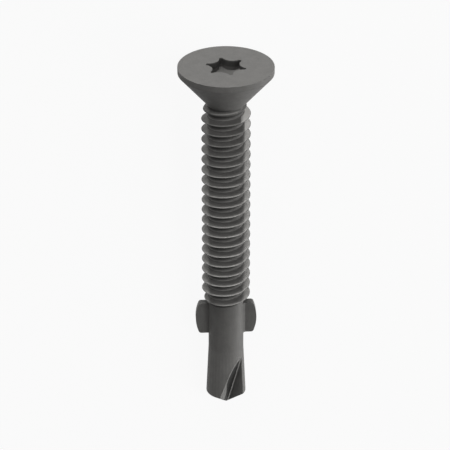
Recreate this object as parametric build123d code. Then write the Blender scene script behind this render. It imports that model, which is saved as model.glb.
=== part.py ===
from build123d import *
from math import acos, atan2, ceil, cos, degrees, radians, sin, sqrt, tan
import os

# A winged self-drilling screw in millimetres. The real one starts as one length of steel wire, so
# it is one solid: the head, the wings and the drill point are struck, and the thread is rolled.
# The screw is built upright with the middle of its top face at the origin. A depth is measured
# down from that face. A bearing is an angle about the screw's axis, in degrees from the side that
# faces a viewer at -Y, positive towards +X. Last of all the screw is laid down at rest.

# Whole screw
length = 38.0
shank_diameter = 3.53
thread_diameter = 4.8

# Countersunk head
head_diameter = 9.3
head_land = 0.58
countersink_angle = 81.5

# Six-lobe recess in the head
lobe_diameter = 4.0
lobe_inner_diameter = 2.74
lobe_tip_radius = 0.2
lobe_bearing = 14.7
recess_depth = 0.92
recess_cone_drop = 0.3

# Thread, right handed with one start
thread_pitch = 1.109
thread_angle = 48.0
first_crest_depth = 4.107
thread_lead_in = 0.35
thread_fade_in = 1.2
thread_end_gap = 0.34
thread_fade_out = 0.5
thread_sink = 0.12

# Pair of wings that ream the timber and snap off in the steel
wing_span = 6.12
wing_corner_span = 5.4
wing_corner_radius = 0.3
wing_thickness = 0.77
wing_top_above_tip = 11.98
wing_height = 3.43
wing_root_foot = 0.19
wing_bearing = 93.0

# Drill shank and point
flare_above_tip = 6.9
drill_diameter = 4.02
point_angle = 105.2

# Two straight V flutes
flute_bearing = 60.0
flute_angle = 94.5
flute_lean = 15.5
flute_web = 1.18
flute_root_radius = 0.1
flute_count = 2

# How far a shape that cuts or trims reaches past what it works on
overrun = 1.0

shank_radius = shank_diameter / 2
thread_radius = thread_diameter / 2
head_radius = head_diameter / 2
drill_radius = drill_diameter / 2
neck_depth = head_land + (head_radius - shank_radius) / tan(radians(countersink_angle / 2))
wing_top_depth = length - wing_top_above_tip
flare_start_depth = length - flare_above_tip
rim_depth = length - drill_radius / tan(radians(point_angle / 2))
thread_start_depth = neck_depth - thread_lead_in
thread_end_depth = wing_top_depth - thread_end_gap
lower_flute_bearing = flute_bearing + 180
base = (Align.CENTER, Align.CENTER, Align.MIN)


def toward(bearing, radius, depth=0.0):
    """The point at a bearing, a radius from the axis and a depth below the top face."""
    turn = radians(bearing)
    return Vector(radius * sin(turn), -radius * cos(turn), -depth)


def turned(outline):
    """The solid that a closed outline of (radius, depth) corners makes about the axis."""
    corners = [(radius, -depth) for radius, depth in outline]
    with BuildSketch(Plane.XZ) as half:
        with BuildLine():
            Polyline(*corners, close=True)
        make_face()
    return revolve(half.sketch, axis=Axis.Z)


def head():
    """The countersunk head, its cone carried on inside the shank so that the two cross cleanly."""
    inside = shank_radius / 2
    inside_depth = neck_depth + inside / tan(radians(countersink_angle / 2))
    return turned(
        [
            (0, 0),
            (head_radius, 0),
            (head_radius, head_land),
            (shank_radius - inside, inside_depth),
            (0, inside_depth),
        ]
    )


def drill_end():
    """The flared drill shank and the conical point."""
    return turned(
        [
            (0, flare_start_depth),
            (shank_radius, flare_start_depth),
            (drill_radius, rim_depth),
            (0, length),
        ]
    )


def lobe_outline():
    """Six pointed lobes joined by wide arcs that bulge inwards, each arc tangent to the next."""
    tip_centre = lobe_diameter / 2 - lobe_tip_radius
    inner = lobe_inner_diameter / 2
    step = radians(30)
    # The two arcs touch where their centres are as far apart as both radii together
    gap = tip_centre**2 + inner**2 - 2 * tip_centre * inner * cos(step) - lobe_tip_radius**2
    bulge = gap / (2 * (lobe_tip_radius + tip_centre * cos(step) - inner))
    arcs = []
    for lobe in range(6):
        bearing = lobe_bearing + 60 * lobe
        tip = toward(bearing, tip_centre)
        before = toward(bearing - 30, inner + bulge)
        after = toward(bearing + 30, inner + bulge)
        start = tip + (before - tip).normalized() * lobe_tip_radius
        end = tip + (after - tip).normalized() * lobe_tip_radius
        following = toward(bearing + 60, tip_centre)
        next_start = following + (after - following).normalized() * lobe_tip_radius
        arcs.append(ThreePointArc(start, toward(bearing, lobe_diameter / 2), end))
        arcs.append(ThreePointArc(end, toward(bearing + 30, inner), next_start))
    return make_face(arcs)


def recess():
    """The six-lobe socket, with straight walls and a shallow cone at the bottom."""
    deepest = recess_depth + recess_cone_drop
    walls = extrude(Pos(0, 0, overrun) * lobe_outline(), amount=deepest + 2 * overrun, dir=(0, 0, -1))
    # The floor is as deep as stated at the lobes and carries on sloping as far again outside them
    room = turned(
        [
            (0, -overrun),
            (lobe_diameter, -overrun),
            (lobe_diameter, recess_depth - recess_cone_drop),
            (0, deepest),
        ]
    )
    return walls & room


def thread_limits():
    """The turned shape that the ridge keeps inside, so that its ends rise and fade gradually."""
    rise = thread_radius - shank_radius
    top_slope = thread_fade_in / rise
    end_slope = thread_fade_out / rise
    inside = 2 * thread_sink
    outside = rise / 4
    return turned(
        [
            (0, thread_start_depth - inside * top_slope),
            (shank_radius - inside, thread_start_depth - inside * top_slope),
            (thread_radius + outside, thread_start_depth + (rise + outside) * top_slope),
            (thread_radius + outside, thread_end_depth - (rise + outside) * end_slope),
            (shank_radius - inside, thread_end_depth + inside * end_slope),
            (0, thread_end_depth + inside * end_slope),
        ]
    )


def ridge(lower, upper):
    """The ridge from one turn up to another, turns being counted down from the first crest."""
    path = Helix(thread_pitch, (lower - upper) * thread_pitch, shank_radius)
    # Crests are counted at the front, and the helix starts a quarter of a turn on, at +X
    start_depth = first_crest_depth + (lower - 1 / 4) * thread_pitch
    foot = shank_radius - thread_sink
    half_foot = (thread_radius - foot) * tan(radians(thread_angle / 2))
    with BuildSketch(Plane.XZ) as section:
        with BuildLine():
            Polyline((foot, -half_foot), (thread_radius, 0), (foot, half_foot), close=True)
        make_face()
    return Pos(0, 0, -start_depth) * sweep(section.sketch, path=path, is_frenet=True)


def thread():
    """The whole ridge from the last turn up to the neck, in three runs that meet end to end."""
    spare = 2
    lowest = ceil((thread_end_depth - first_crest_depth) / thread_pitch) + spare
    full_from = lowest - ceil(thread_fade_out / thread_pitch) - 2 * spare
    full_to = ceil(thread_fade_in / thread_pitch) + spare
    limits = thread_limits()
    fading = ridge(lowest, full_from) & limits
    full = ridge(full_from, full_to)
    rising = ridge(full_to, -spare) & limits
    return fading + full + rising


def threaded_shank():
    """The plain shank from inside the head to the flare, with the thread on it."""
    inside_head = (recess_depth + recess_cone_drop + neck_depth) / 2
    shank = Cylinder(shank_radius, flare_start_depth - inside_head, align=base)
    return Pos(0, 0, -flare_start_depth) * shank + thread()


def wing_plan():
    """The wings seen from above: a flat bar through the axis, each with one sloped foot."""
    half = wing_thickness / 2
    slope_end = sqrt(shank_radius**2 - half**2) + wing_root_foot
    slope_length = shank_radius / 2
    bar = Rectangle(wing_span + overrun, wing_thickness)
    feet = Polygon(
        (0, -half - slope_length),
        (slope_end - slope_length, -half - slope_length),
        (slope_end, -half),
        (0, half + slope_length),
        (slope_length - slope_end, half + slope_length),
        (-slope_end, half),
        align=None,
    )
    return bar + feet


def wings():
    """Both wings, cut from one bar with bowed outer edges."""
    top = -wing_top_depth
    bottom = top - wing_height
    middle = (top + bottom) / 2
    corner = wing_corner_span / 2
    with BuildSketch(Plane.XZ) as side:
        with BuildLine():
            Line((-corner, top), (corner, top))
            ThreePointArc((corner, top), (wing_span / 2, middle), (corner, bottom))
            Line((corner, bottom), (-corner, bottom))
            ThreePointArc((-corner, bottom), (-wing_span / 2, middle), (-corner, top))
        make_face()
        fillet(side.vertices(), wing_corner_radius)
    outline = extrude(side.sketch, amount=wing_span, both=True)
    bar = extrude(Pos(0, 0, bottom - overrun) * wing_plan(), amount=wing_height + 2 * overrun)
    return Rot(0, 0, wing_bearing - 90) * (bar & outline)


def flute_root(depth):
    """How far the bottom of a flute is from the axis at a depth."""
    return flute_web / 2 + (rim_depth - depth) * tan(radians(flute_lean))


def flute(number):
    """A straight groove: one wall holds the cutting lip and the other leans away from it."""
    bearing = flute_bearing + 360 * number / flute_count
    reach = head_diameter
    depth = length + overrun
    splay = radians(flute_angle - 90)
    outward = toward(bearing, 1)
    across = toward(bearing - 90, 1)
    heel = across * cos(splay) - outward * sin(splay)
    corner = toward(bearing, 0, depth) + outward * flute_root(depth)
    walls = Polyline(corner + outward * reach, corner, corner + heel * reach)
    rounded = FilletPolyline(
        corner + outward * reach, corner, corner + heel * reach, radius=flute_root_radius
    )
    far = Polyline(walls @ 1, corner + (outward + across) * 2 * reach, walls @ 0)
    section = make_face([*rounded.edges(), *far.edges()])
    along = Vector(0, 0, 1) * cos(radians(flute_lean)) + outward * sin(radians(flute_lean))
    return extrude(section, amount=2 * reach, dir=along)


def heel_corner(depth):
    """Radius and bearing of the edge where the lower flute's leaning wall meets the outside."""
    flared = (depth - flare_start_depth) / (rim_depth - flare_start_depth)
    radius = shank_radius + (drill_radius - shank_radius) * flared
    splay = flute_angle - 90
    opening = splay + degrees(acos(flute_root(depth) * cos(radians(splay)) / radius))
    return radius, lower_flute_bearing - opening


def lean_until(down_bearing, radius, bearing, depth):
    """How far the screw leans, head edge on the floor, until the given point touches as well."""
    drop = radius * cos(radians(bearing - down_bearing))
    return atan2(head_radius - drop, depth - head_land)


def rest():
    """Bearing that points down and the lean at which the screw lies on both edges of a flute."""
    samples = 40
    halvings = 40
    # The shallow fifth at the flute's far end is too near the axis to touch
    heel_length = 4 / 5 * (shank_radius - flute_web / 2) / tan(radians(flute_lean))
    depths = [rim_depth - heel_length * sample / samples for sample in range(samples)]
    heel = [(*heel_corner(depth), depth) for depth in depths]
    low = heel[0][1]
    high = lower_flute_bearing
    for _ in range(halvings):
        down = (low + high) / 2
        lip_lean = lean_until(down, drill_radius, lower_flute_bearing, rim_depth)
        heel_lean = min(lean_until(down, *corner) for corner in heel)
        if lip_lean > heel_lean:
            low = down
        else:
            high = down
    return down, lip_lean


def laid_down(screw):
    """The screw at rest on the head's edge and one flute, with its point towards +X."""
    down, lean = rest()
    lift = head_land * sin(lean) + head_radius * cos(lean)
    middle = (length * cos(lean) - head_radius * sin(lean)) / 2
    # First the side that goes down is turned to -X, then the screw is tipped over towards +X
    turned_about = Rot(0, 0, 270 - down) * screw
    lying = Rot(0, degrees(lean) - 90, 0) * turned_about
    return Pos(-middle, 0, lift) * lying


def make_screw():
    """All of the screw, upright."""
    screw = threaded_shank() + head() + wings() + drill_end()
    screw -= recess()
    for number in range(flute_count):
        screw -= flute(number)
    return screw


os.makedirs("parts", exist_ok=True)
screw = laid_down(make_screw())
export_step(screw, "parts/screw.step")
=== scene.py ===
from math import cos, pi, radians, sin, tan

import bpy
from mathutils import Matrix, Vector


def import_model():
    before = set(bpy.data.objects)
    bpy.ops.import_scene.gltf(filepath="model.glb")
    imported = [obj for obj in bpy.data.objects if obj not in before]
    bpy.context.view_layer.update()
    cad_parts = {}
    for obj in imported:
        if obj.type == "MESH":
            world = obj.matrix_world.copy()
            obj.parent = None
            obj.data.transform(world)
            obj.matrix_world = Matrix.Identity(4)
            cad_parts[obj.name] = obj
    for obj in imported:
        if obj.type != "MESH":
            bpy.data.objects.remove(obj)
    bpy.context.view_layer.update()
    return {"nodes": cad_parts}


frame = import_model()

# The screw's own frame has its axis along Z, the middle of its top face at the origin and the side
# that faces the photograph at -Y. Depths are measured down from the top face, and bearings round the
# axis from -Y towards +X. These sizes are the part's own, in millimetres and degrees.
mm = 0.001
length = 38.0
head_radius = 4.65
head_land = 0.58
recess_radius = 2.0
recess_depth = 0.92
shank_radius = 1.765
thread_radius = 2.4
thread_pitch = 1.109
thread_angle = 48.0
first_crest_depth = 4.107
neck_depth = 3.93
thread_end_depth = 25.68
flare_depth = 31.1
rim_depth = 36.46
drill_radius = 2.01
flute_bearing = 60.0
flute_lean = 15.5
flute_web = 1.18
up_bearing = 23.548
lean = 4.8318

# The coating's own colour, and how many times lighter each marked place is; most marks are painted
# highlights or painted shade
coating = (0.114, 0.112, 0.108)
# Painted highlight along the crests, kept where they face the front or the back
crest_highlight_tone = 2.3
flank_tone = 1.05
# Painted shade in the hollow just under each crest
under_crest_shade_tone = 0.35
# Painted highlight along the foot of each upper flank
foot_highlight_tone = 1.9
# Painted light on the upper flanks at both sides of the thread
side_light_tone = 2.2
# Painted highlight on the upper flanks at the right, the brightest near the head
right_flank_highlight_tone = 4.2
wall_tone = 1.2
# Painted shade on the heel walls of the flutes
heel_shade_tone = 0.15
# Flute edges worn lighter, with a painted highlight along them
edge_wear_and_highlight_tone = 1.6
# Painted highlight along the bottom of each flute
valley_highlight_tone = 3.0
# Painted shade in the crease under the head
crease_shade_tone = 0.45
# Painted shade inside the recess, and more on its walls
recess_shade_tone = 0.75
recess_wall_shade_tone = 0.6
lightest_tone = 6.3

# Marks on the thread, as shares of its pitch
crest_share = (0.03, 0.07)
flank_fade = 0.04
under_gap = 0.16
under_half = 0.2
foot_gap = 0.06
foot_half = 0.08

# Marks on the thread, in millimetres along, across or out from the axis
thread_start_fade = 0.1
thread_end_fade = 0.3
crest_rise = (0.1, 0.3)
last_crests_length = 2.0
last_crest_share = 0.4
light_sides = (1.5, 1.9)
flank_highlight_starts = (1.45, 1.8)
flank_highlight_fade = 0.08
first_flank_highlight_length = 4.0
later_flank_highlight_share = 0.25
last_flank_highlight_share = 0.2

# Marks on the thread, by how far round they are: in shares of the radius, in turns and in degrees
crest_sides = (0.5, 0.85)
first_turn_end = (0.8, 1.2)
foot_highlight_end = (8.0, 28.0)
flank_highlight_end = (110.0, 150.0)

# Marks in the flutes, in millimetres
flare_fade = 0.1
rim_fade = (-0.05, 0.02)
wall_start = (0.05, 0.15)
edge_inside = 0.05
edge_half = 0.06
heel_start = (0.03, 0.15)
light_heel_length = (-2.4, 0.6)
light_heel_width = (0.05, 1.0)
light_heel_fade = 0.15
valley_highlight_width = (0.03, 0.12)

# Marks at the neck and in the recess, in millimetres
crease_drop = 0.05
crease_half = 0.22
crease_rise = (0.1, 0.25)
recess_rim = (0.02, 0.1)
recess_top = (0.02, 0.15)
recess_end = (0.5, 0.7)
recess_wall_end = (-0.35, -0.2)

# Grain: marks per millimetre, detail, lowest value and highest value
cloudy_grain = (0.9, 4.0, 0.95, 1.05)
fine_grain = (9.0, 2.0, 0.96, 1.04)
drawn_grain = (5.0, 2.0, 0.97, 1.03)
drawn_stretch = 12.0
roughness_grain = (3.0, 3.0, 0.45, 0.55)
bump_grain = (14.0, 3.0, 0.0, 1.0)
noise_range = (0.3, 0.7)

# Gloss and surface
gloss = 0.05
crest_roughness = 0.75
edge_radius = 0.05
edge_samples = 8
bump_strength = 0.25
bump_height = 0.01

# The photograph's camera, seen from the screw's own frame
camera_elevation = 28.95
camera_distance = 232.3
camera_depth = 17.27
camera_shift = -0.097
focal_pixels = 2350.0
image_pixels = 450
sensor_width = 36.0
nearest_seen = 0.01
farthest_seen = 10.0

# Soft boxes round the screw: compass angle from -Y towards +X, height angle, brightness, half width
lamp_distance = 0.6
soft_boxes = {
    "side": (150.0, 9.0, 9.5, 13.0),
    "right": (152.0, 30.0, 5.0, 13.0),
    "far_right": (165.0, 38.0, 3.5, 13.0),
    "high_right": (180.0, 62.0, 7.0, 13.0),
    "high": (240.0, 62.0, 1.6, 13.0),
    "above": (0.0, 90.0, 0.5, 22.0),
    "head_right": (250.0, 9.0, 6.6, 13.0),
    "head": (275.0, 9.0, 16.9, 13.0),
    "head_left": (300.0, 9.0, 1.9, 13.0),
    "left": (315.0, 20.0, 1.3, 28.0),
}

# The dark room and the pale floor, with the share of plain white that the camera sees in the floor
room_light = 0.0
plain_white = (1, 1, 1, 1)
white_strength = 1.0
floor_half = 2.0
floor_grey = (0.35, 0.35, 0.35, 1)
floor_glow = 0.93


def laid_down():
    """From the screw's own frame, in millimetres, to the row's frame, in metres."""
    tilt = radians(lean)
    lift = head_land * sin(tilt) + head_radius * cos(tilt)
    middle = (length * cos(tilt) - head_radius * sin(tilt)) / 2
    turn = Matrix.Rotation(pi / 2 - radians(up_bearing), 4, "Z")
    tip_over = Matrix.Rotation(tilt - pi / 2, 4, "Y")
    return Matrix.Scale(mm, 4) @ Matrix.Translation((-middle, 0, lift)) @ tip_over @ turn


def link(thing):
    """Puts an object in the scene."""
    bpy.context.scene.collection.objects.link(thing)
    return thing


def make_camera():
    """The photograph's view, which looks down on the screw's head and front."""
    rise = radians(camera_elevation)
    back = Vector((0, -cos(rise), sin(rise)))
    up = Vector((0, sin(rise), cos(rise)))
    place = Vector((camera_shift, 0, -camera_depth)) + back * camera_distance
    seat = laid_down()
    turned = seat.to_3x3().normalized()
    camera = bpy.data.cameras.new("camera")
    camera.sensor_width = sensor_width
    camera.lens = focal_pixels * sensor_width / image_pixels
    camera.clip_start = nearest_seen
    camera.clip_end = farthest_seen
    holder = link(bpy.data.objects.new("camera", camera))
    axes = Matrix((turned @ Vector((1, 0, 0)), turned @ up, turned @ back)).transposed()
    holder.matrix_world = Matrix.Translation(seat @ place) @ axes.to_4x4()
    bpy.context.scene.camera = holder


def make_lamps():
    """Round soft boxes that all face the screw."""
    for name, (compass, height, brightness, half_width) in soft_boxes.items():
        turn = radians(compass)
        rise = radians(height)
        out = Vector((sin(turn) * cos(rise), -cos(turn) * cos(rise), sin(rise)))
        lamp = bpy.data.lights.new(name, "AREA")
        lamp.shape = "DISK"
        lamp.size = 2 * lamp_distance * tan(radians(half_width))
        # A lamp's power for a given brightness is the brightness times pi times its area
        lamp.energy = brightness * pi * pi * (lamp.size / 2) ** 2
        holder = link(bpy.data.objects.new(name, lamp))
        holder.location = out * lamp_distance
        holder.rotation_mode = "QUATERNION"
        holder.rotation_quaternion = out.to_track_quat("Z", "Y")
        holder.visible_camera = False


def put(tree, socket, value):
    """Sets a socket to a number, or links another node's output to it."""
    if isinstance(value, (int, float)):
        socket.default_value = value
    else:
        tree.links.new(value, socket)


def calculate(tree, operation, first, second=0.0):
    """A math node; either input is a number or another node's output."""
    node = tree.nodes.new("ShaderNodeMath")
    node.operation = operation
    put(tree, node.inputs[0], first)
    put(tree, node.inputs[1], second)
    return node.outputs[0]


def both(tree, first, second):
    """The product of two masks."""
    return calculate(tree, "MULTIPLY", first, second)


def ramp(tree, value, start, end, low=0.0, high=1.0):
    """Goes softly from low to high while the value goes from start to end."""
    node = tree.nodes.new("ShaderNodeMapRange")
    node.interpolation_type = "SMOOTHSTEP"
    put(tree, node.inputs["Value"], value)
    limits = (("From Min", start), ("From Max", end), ("To Min", low), ("To Max", high))
    for name, limit in limits:
        put(tree, node.inputs[name], limit)
    return node.outputs["Result"]


def after(tree, mask, value, start, end):
    """A mask that is kept where the value is past the end, and is nothing before the start."""
    return both(tree, mask, ramp(tree, value, start, end))


def before(tree, mask, value, start, end, rest=0.0):
    """A mask that is kept where the value is before the start; past the end only a rest is left."""
    return both(tree, mask, ramp(tree, value, start, end, 1.0, rest))


def band(tree, value, middle, half):
    """One at the middle of a band and nothing outside it."""
    away = calculate(tree, "ABSOLUTE", calculate(tree, "SUBTRACT", value, middle))
    return ramp(tree, away, 0.0, half, 1.0, 0.0)


def past(size, fade):
    """The two ends of a fade that is given by how far they are past a depth or a radius."""
    return size + fade[0], size + fade[1]


def scaled_by(tree, value, mask, factor):
    """A value that is multiplied by the factor where the mask is one, and kept where it is nothing."""
    return both(tree, value, calculate(tree, "ADD", both(tree, mask, factor - 1.0), 1.0))


def grain(tree, place, scale, detail, low, high):
    """Noise, its size in marks per millimetre, between two values."""
    node = tree.nodes.new("ShaderNodeTexNoise")
    node.inputs["Scale"].default_value = scale
    node.inputs["Detail"].default_value = detail
    tree.links.new(place, node.inputs["Vector"])
    return ramp(tree, node.outputs[0], *noise_range, low, high)


def seen_directly(tree):
    """One for rays from the camera and for reflected or refracted ones, nothing for scattered ones."""
    rays = tree.nodes.new("ShaderNodeLightPath")
    seen = calculate(tree, "MAXIMUM", rays.outputs["Is Camera Ray"], rays.outputs["Is Glossy Ray"])
    return calculate(tree, "MAXIMUM", seen, rays.outputs["Is Transmission Ray"])


def make_white(tree, kind):
    """A shader of the given kind that shows plain white."""
    white = tree.nodes.new(kind)
    white.inputs["Color"].default_value = plain_white
    white.inputs["Strength"].default_value = white_strength
    return white


def blended(tree, share, first, second, output):
    """Sends the first shader to the output, with a share of the second mixed in."""
    blend = tree.nodes.new("ShaderNodeMixShader")
    tree.links.new(share, blend.inputs[0])
    tree.links.new(first.outputs[0], blend.inputs[1])
    tree.links.new(second.outputs[0], blend.inputs[2])
    tree.links.new(blend.outputs[0], tree.nodes[output].inputs["Surface"])


def make_world():
    """A dark room, seen as plain white by the camera and in what is glossy or clear."""
    world = bpy.data.worlds.new("room")
    world.use_nodes = True
    bpy.context.scene.world = world
    tree = world.node_tree
    dark = tree.nodes["Background"]
    dark.inputs["Color"].default_value = plain_white
    dark.inputs["Strength"].default_value = room_light
    white = make_white(tree, "ShaderNodeBackground")
    blended(tree, seen_directly(tree), dark, white, "World Output")


def floor_material():
    """Matt grey that the camera sees mostly as plain white, with the screw's shadow faintly on it."""
    material = bpy.data.materials.new("floor")
    material.use_nodes = True
    tree = material.node_tree
    matt = tree.nodes["Principled BSDF"]
    matt.inputs["Base Color"].default_value = floor_grey
    matt.inputs["Roughness"].default_value = 1.0
    matt.inputs["Specular IOR Level"].default_value = 0.0
    share = both(tree, seen_directly(tree), floor_glow)
    white = make_white(tree, "ShaderNodeEmission")
    blended(tree, share, matt, white, "Material Output")
    return material


def make_floor():
    """A plain pale floor."""
    half = floor_half
    mesh = bpy.data.meshes.new("floor")
    corners = [(-half, -half, 0), (half, -half, 0), (half, half, 0), (-half, half, 0)]
    mesh.from_pydata(corners, [], [(0, 1, 2, 3)])
    mesh.materials.append(floor_material())
    link(bpy.data.objects.new("floor", mesh))


def screw_place(tree):
    """Coordinates in the screw's own frame, in millimetres."""
    back, turn, size = laid_down().inverted().decompose()
    coordinates = tree.nodes.new("ShaderNodeTexCoord")
    node = tree.nodes.new("ShaderNodeMapping")
    node.inputs["Location"].default_value = back
    node.inputs["Rotation"].default_value = turn.to_euler()
    node.inputs["Scale"].default_value = size
    tree.links.new(coordinates.outputs["Object"], node.inputs["Vector"])
    return node.outputs[0]


def stretched(tree, place, stretch):
    """Coordinates drawn out along the screw's axis, for marks that run along it."""
    node = tree.nodes.new("ShaderNodeMapping")
    node.inputs["Scale"].default_value = (1.0, 1.0, 1.0 / stretch)
    tree.links.new(place, node.inputs["Vector"])
    return node.outputs[0]


def split(tree, place):
    """Radius, depth and the two distances across the axis of each point."""
    node = tree.nodes.new("ShaderNodeSeparateXYZ")
    tree.links.new(place, node.inputs[0])
    across, away, height = node.outputs
    square = calculate(tree, "ADD", both(tree, across, across), both(tree, away, away))
    radius = calculate(tree, "SQRT", square)
    depth = both(tree, height, -1.0)
    return radius, depth, across, away


def share_below_crest(tree, depth, bearing):
    """Share of a pitch below the crest, which rises by a pitch over a turn."""
    turns = both(tree, calculate(tree, "SUBTRACT", depth, first_crest_depth), 1 / thread_pitch)
    turns = calculate(tree, "ADD", turns, both(tree, bearing, 1 / (2 * pi)))
    return calculate(tree, "FRACT", turns)


def crest_highlight_mask(tree, running, from_crest, radius, depth, aside):
    """Painted highlight on the thread's crest, where it faces the front or the back."""
    crest = before(tree, running, from_crest, *crest_share)
    crest = after(tree, crest, radius, *past(shank_radius, crest_rise))
    last_start = thread_end_depth - last_crests_length
    crest = before(tree, crest, depth, last_start, thread_end_depth, last_crest_share)
    return before(tree, crest, aside, *crest_sides)


def right_flank_highlight_mask(tree, flank, depth, across, bearing):
    """Painted highlight on the upper flanks at the right, the brightest on the first turn."""
    first_turn, next_turn = (first_crest_depth + turns * thread_pitch for turns in first_turn_end)
    start = ramp(tree, depth, first_turn, next_turn, *flank_highlight_starts)
    past_start = calculate(tree, "SUBTRACT", across, start)
    right_flank_highlight = after(tree, flank, past_start, -flank_highlight_fade, flank_highlight_fade)
    right_flank_highlight = before(tree, right_flank_highlight, bearing, *map(radians, flank_highlight_end))
    first_end = neck_depth + first_flank_highlight_length
    right_flank_highlight = before(tree, right_flank_highlight, depth, neck_depth, first_end, later_flank_highlight_share)
    return before(tree, right_flank_highlight, depth, neck_depth, thread_end_depth, last_flank_highlight_share)


def thread_masks(tree, radius, depth, across, away):
    """Where the parts of the thread's ridge are, each a mask with how light the coating is there:
    painted highlights on the crests, flank feet and right flanks, painted light on the sides, painted
    shade under the crests.
    """
    begun = ramp(tree, depth, neck_depth - thread_start_fade, neck_depth + thread_start_fade)
    running = before(tree, begun, depth, thread_end_depth, thread_end_depth + thread_end_fade)
    bearing = calculate(tree, "ARCTAN2", across, both(tree, away, -1.0))
    phase = share_below_crest(tree, depth, bearing)
    from_crest = calculate(tree, "MINIMUM", phase, calculate(tree, "SUBTRACT", 1.0, phase))
    aside = calculate(tree, "ABSOLUTE", calculate(tree, "DIVIDE", across, radius))
    crest = crest_highlight_mask(tree, running, from_crest, radius, depth, aside)
    lower_foot = (thread_radius - shank_radius) * tan(radians(thread_angle / 2)) / thread_pitch
    upper_foot = 1 - lower_foot
    flank = after(tree, running, phase, upper_foot, upper_foot + flank_fade)
    flank = after(tree, flank, from_crest, 0.0, crest_share[0])
    # Painted shade in the hollow just under each crest
    under = both(tree, running, band(tree, phase, lower_foot + under_gap, under_half))
    # Painted highlight along the foot of each upper flank, fading out round to the right
    foot = both(tree, running, band(tree, phase, upper_foot - foot_gap, foot_half))
    foot = before(tree, foot, bearing, *map(radians, foot_highlight_end))
    # Painted light on the upper flanks at both sides
    sides = after(tree, flank, calculate(tree, "ABSOLUTE", across), *light_sides)
    right_flank_highlight = right_flank_highlight_mask(tree, flank, depth, across, bearing)
    return (
        (crest, crest_highlight_tone),
        (flank, flank_tone),
        (under, under_crest_shade_tone),
        (foot, foot_highlight_tone),
        (sides, side_light_tone),
        (right_flank_highlight, right_flank_highlight_tone),
    )


def below_surface(tree, radius, depth):
    """How far inside the drill end's round surface a point is, along the radius."""
    widening = (drill_radius - shank_radius) / (rim_depth - flare_depth)
    flared = both(tree, calculate(tree, "SUBTRACT", depth, flare_depth), widening)
    outside = calculate(tree, "ADD", flared, shank_radius)
    return calculate(tree, "SUBTRACT", outside, radius)


def heel_shade_mask(tree, walls, inside, depth, heel_side):
    """Painted shade on the heel's wall, which leaves a light triangle along its edge towards the point.
    """
    heel = after(tree, walls, heel_side, *heel_start)
    light = ramp(tree, depth, *past(rim_depth, light_heel_length), *light_heel_width)
    within = calculate(tree, "SUBTRACT", inside, light)
    return after(tree, heel, within, 0.0, light_heel_fade)


def valley_highlight_mask(tree, walls, depth, outward, beside):
    """Painted highlight along the bottom of each flute, which leans away from the axis towards the head.
    """
    rise = both(tree, calculate(tree, "SUBTRACT", rim_depth, depth), tan(radians(flute_lean)))
    bottom = calculate(tree, "ADD", rise, flute_web / 2)
    short = calculate(tree, "SUBTRACT", calculate(tree, "ABSOLUTE", outward), bottom)
    square = calculate(tree, "ADD", both(tree, short, short), both(tree, beside, beside))
    return before(tree, walls, calculate(tree, "SQRT", square), *valley_highlight_width)


def flute_masks(tree, radius, depth, across, away):
    """Where the walls, the edges and the bottom line of the flutes are, each with its lightness: painted
    shade on the heel walls, edges worn lighter with a painted highlight, a painted highlight along the
    bottom line.
    """
    inside = below_surface(tree, radius, depth)
    drill = ramp(tree, depth, flare_depth - flare_fade, flare_depth + flare_fade)
    point = ramp(tree, depth, *past(rim_depth, rim_fade))
    walls = both(tree, ramp(tree, inside, *wall_start), drill)
    before_point = calculate(tree, "SUBTRACT", drill, point)
    # Flute edges worn lighter, with a painted highlight along them
    edge = both(tree, band(tree, inside, edge_inside, edge_half), before_point)
    turn = radians(flute_bearing)
    # Both flutes at once: the distances are the same half a turn on, but for their signs
    outward = calculate(tree, "SUBTRACT", both(tree, across, sin(turn)), both(tree, away, cos(turn)))
    beside = calculate(tree, "ADD", both(tree, across, cos(turn)), both(tree, away, sin(turn)))
    heel_side = both(tree, both(tree, calculate(tree, "SIGN", outward), beside), -1.0)
    heel = heel_shade_mask(tree, walls, inside, depth, heel_side)
    line = valley_highlight_mask(tree, walls, depth, outward, beside)
    return (walls, wall_tone), (heel, heel_shade_tone), (edge, edge_wear_and_highlight_tone), (line, valley_highlight_tone)


def crease_shade_mask(tree, radius, depth):
    """Painted shade in the crease where the shank meets the cone under the head."""
    near = band(tree, depth, neck_depth + crease_drop, crease_half)
    return before(tree, near, radius, *past(shank_radius, crease_rise))


def recess_shade_masks(tree, radius, depth):
    """Painted shade inside the recess in the head, and on its walls down to the floor, each with its
    lightness.
    """
    inside = ramp(tree, radius, *past(recess_radius, recess_rim), 1.0, 0.0)
    inside = after(tree, inside, depth, *recess_top)
    inside = before(tree, inside, depth, *past(recess_depth, recess_end))
    walls = before(tree, inside, depth, *past(recess_depth, recess_wall_end))
    return (inside, recess_shade_tone), (walls, recess_wall_shade_tone)


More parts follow.
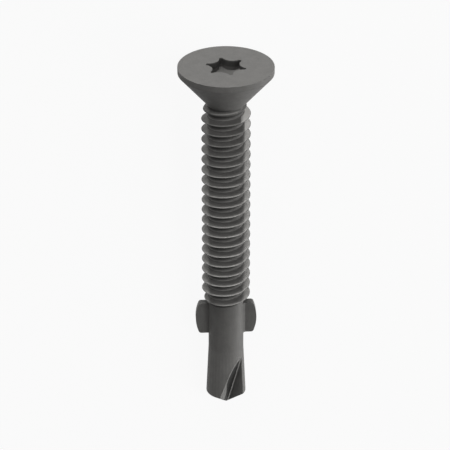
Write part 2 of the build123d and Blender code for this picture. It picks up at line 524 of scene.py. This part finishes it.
def coating_colour(tree, place, marks):
    """The coating's colour, clouded and finely grained, and lighter or darker at each mark, most marks
    being painted highlights or painted shade.
    """
    tone = grain(tree, place, *cloudy_grain)
    tone = both(tree, tone, grain(tree, place, *fine_grain))
    tone = both(tree, tone, grain(tree, stretched(tree, place, drawn_stretch), *drawn_grain))
    for mask, factor in marks:
        tone = scaled_by(tree, tone, mask, factor)
    tone = calculate(tree, "MINIMUM", tone, lightest_tone)
    colour = tree.nodes.new("ShaderNodeVectorMath")
    colour.operation = "SCALE"
    colour.inputs[0].default_value = coating
    tree.links.new(tone, colour.inputs["Scale"])
    return colour.outputs[0]


def coating_surface(tree, place):
    """The surface's direction, with every edge a little rounded and a fine grain on it."""
    rounded = tree.nodes.new("ShaderNodeBevel")
    rounded.samples = edge_samples
    rounded.inputs["Radius"].default_value = edge_radius * mm
    bump = tree.nodes.new("ShaderNodeBump")
    bump.inputs["Strength"].default_value = bump_strength
    bump.inputs["Distance"].default_value = bump_height * mm
    tree.links.new(grain(tree, place, *bump_grain), bump.inputs["Height"])
    tree.links.new(rounded.outputs[0], bump.inputs["Normal"])
    return bump.outputs[0]


def coated_steel():
    """Steel with a dull dark coating, with painted highlights on the crests and flanks, edges worn
    lighter with a painted highlight, and painted shade in hollows.
    """
    material = bpy.data.materials.new("coated_steel")
    material.use_nodes = True
    tree = material.node_tree
    shader = tree.nodes["Principled BSDF"]
    shader.inputs["Metallic"].default_value = 0.0
    shader.inputs["Specular IOR Level"].default_value = gloss
    place = screw_place(tree)
    radius, depth, across, away = split(tree, place)
    on_thread = thread_masks(tree, radius, depth, across, away)
    in_flutes = flute_masks(tree, radius, depth, across, away)
    recess_shade = recess_shade_masks(tree, radius, depth)
    crease = (crease_shade_mask(tree, radius, depth), crease_shade_tone)
    marks = (*on_thread, *in_flutes, *recess_shade, crease)
    tree.links.new(coating_colour(tree, place, marks), shader.inputs["Base Color"])
    crest = on_thread[0][0]
    roughness = scaled_by(tree, grain(tree, place, *roughness_grain), crest, crest_roughness)
    tree.links.new(roughness, shader.inputs["Roughness"])
    tree.links.new(coating_surface(tree, place), shader.inputs["Normal"])
    return material


bpy.context.scene.view_settings.view_transform = "Standard"
make_camera()
make_lamps()
make_world()
make_floor()
screw = frame["nodes"]["screw"]
screw.data.materials.clear()
screw.data.materials.append(coated_steel())
bpy.context.view_layer.update()
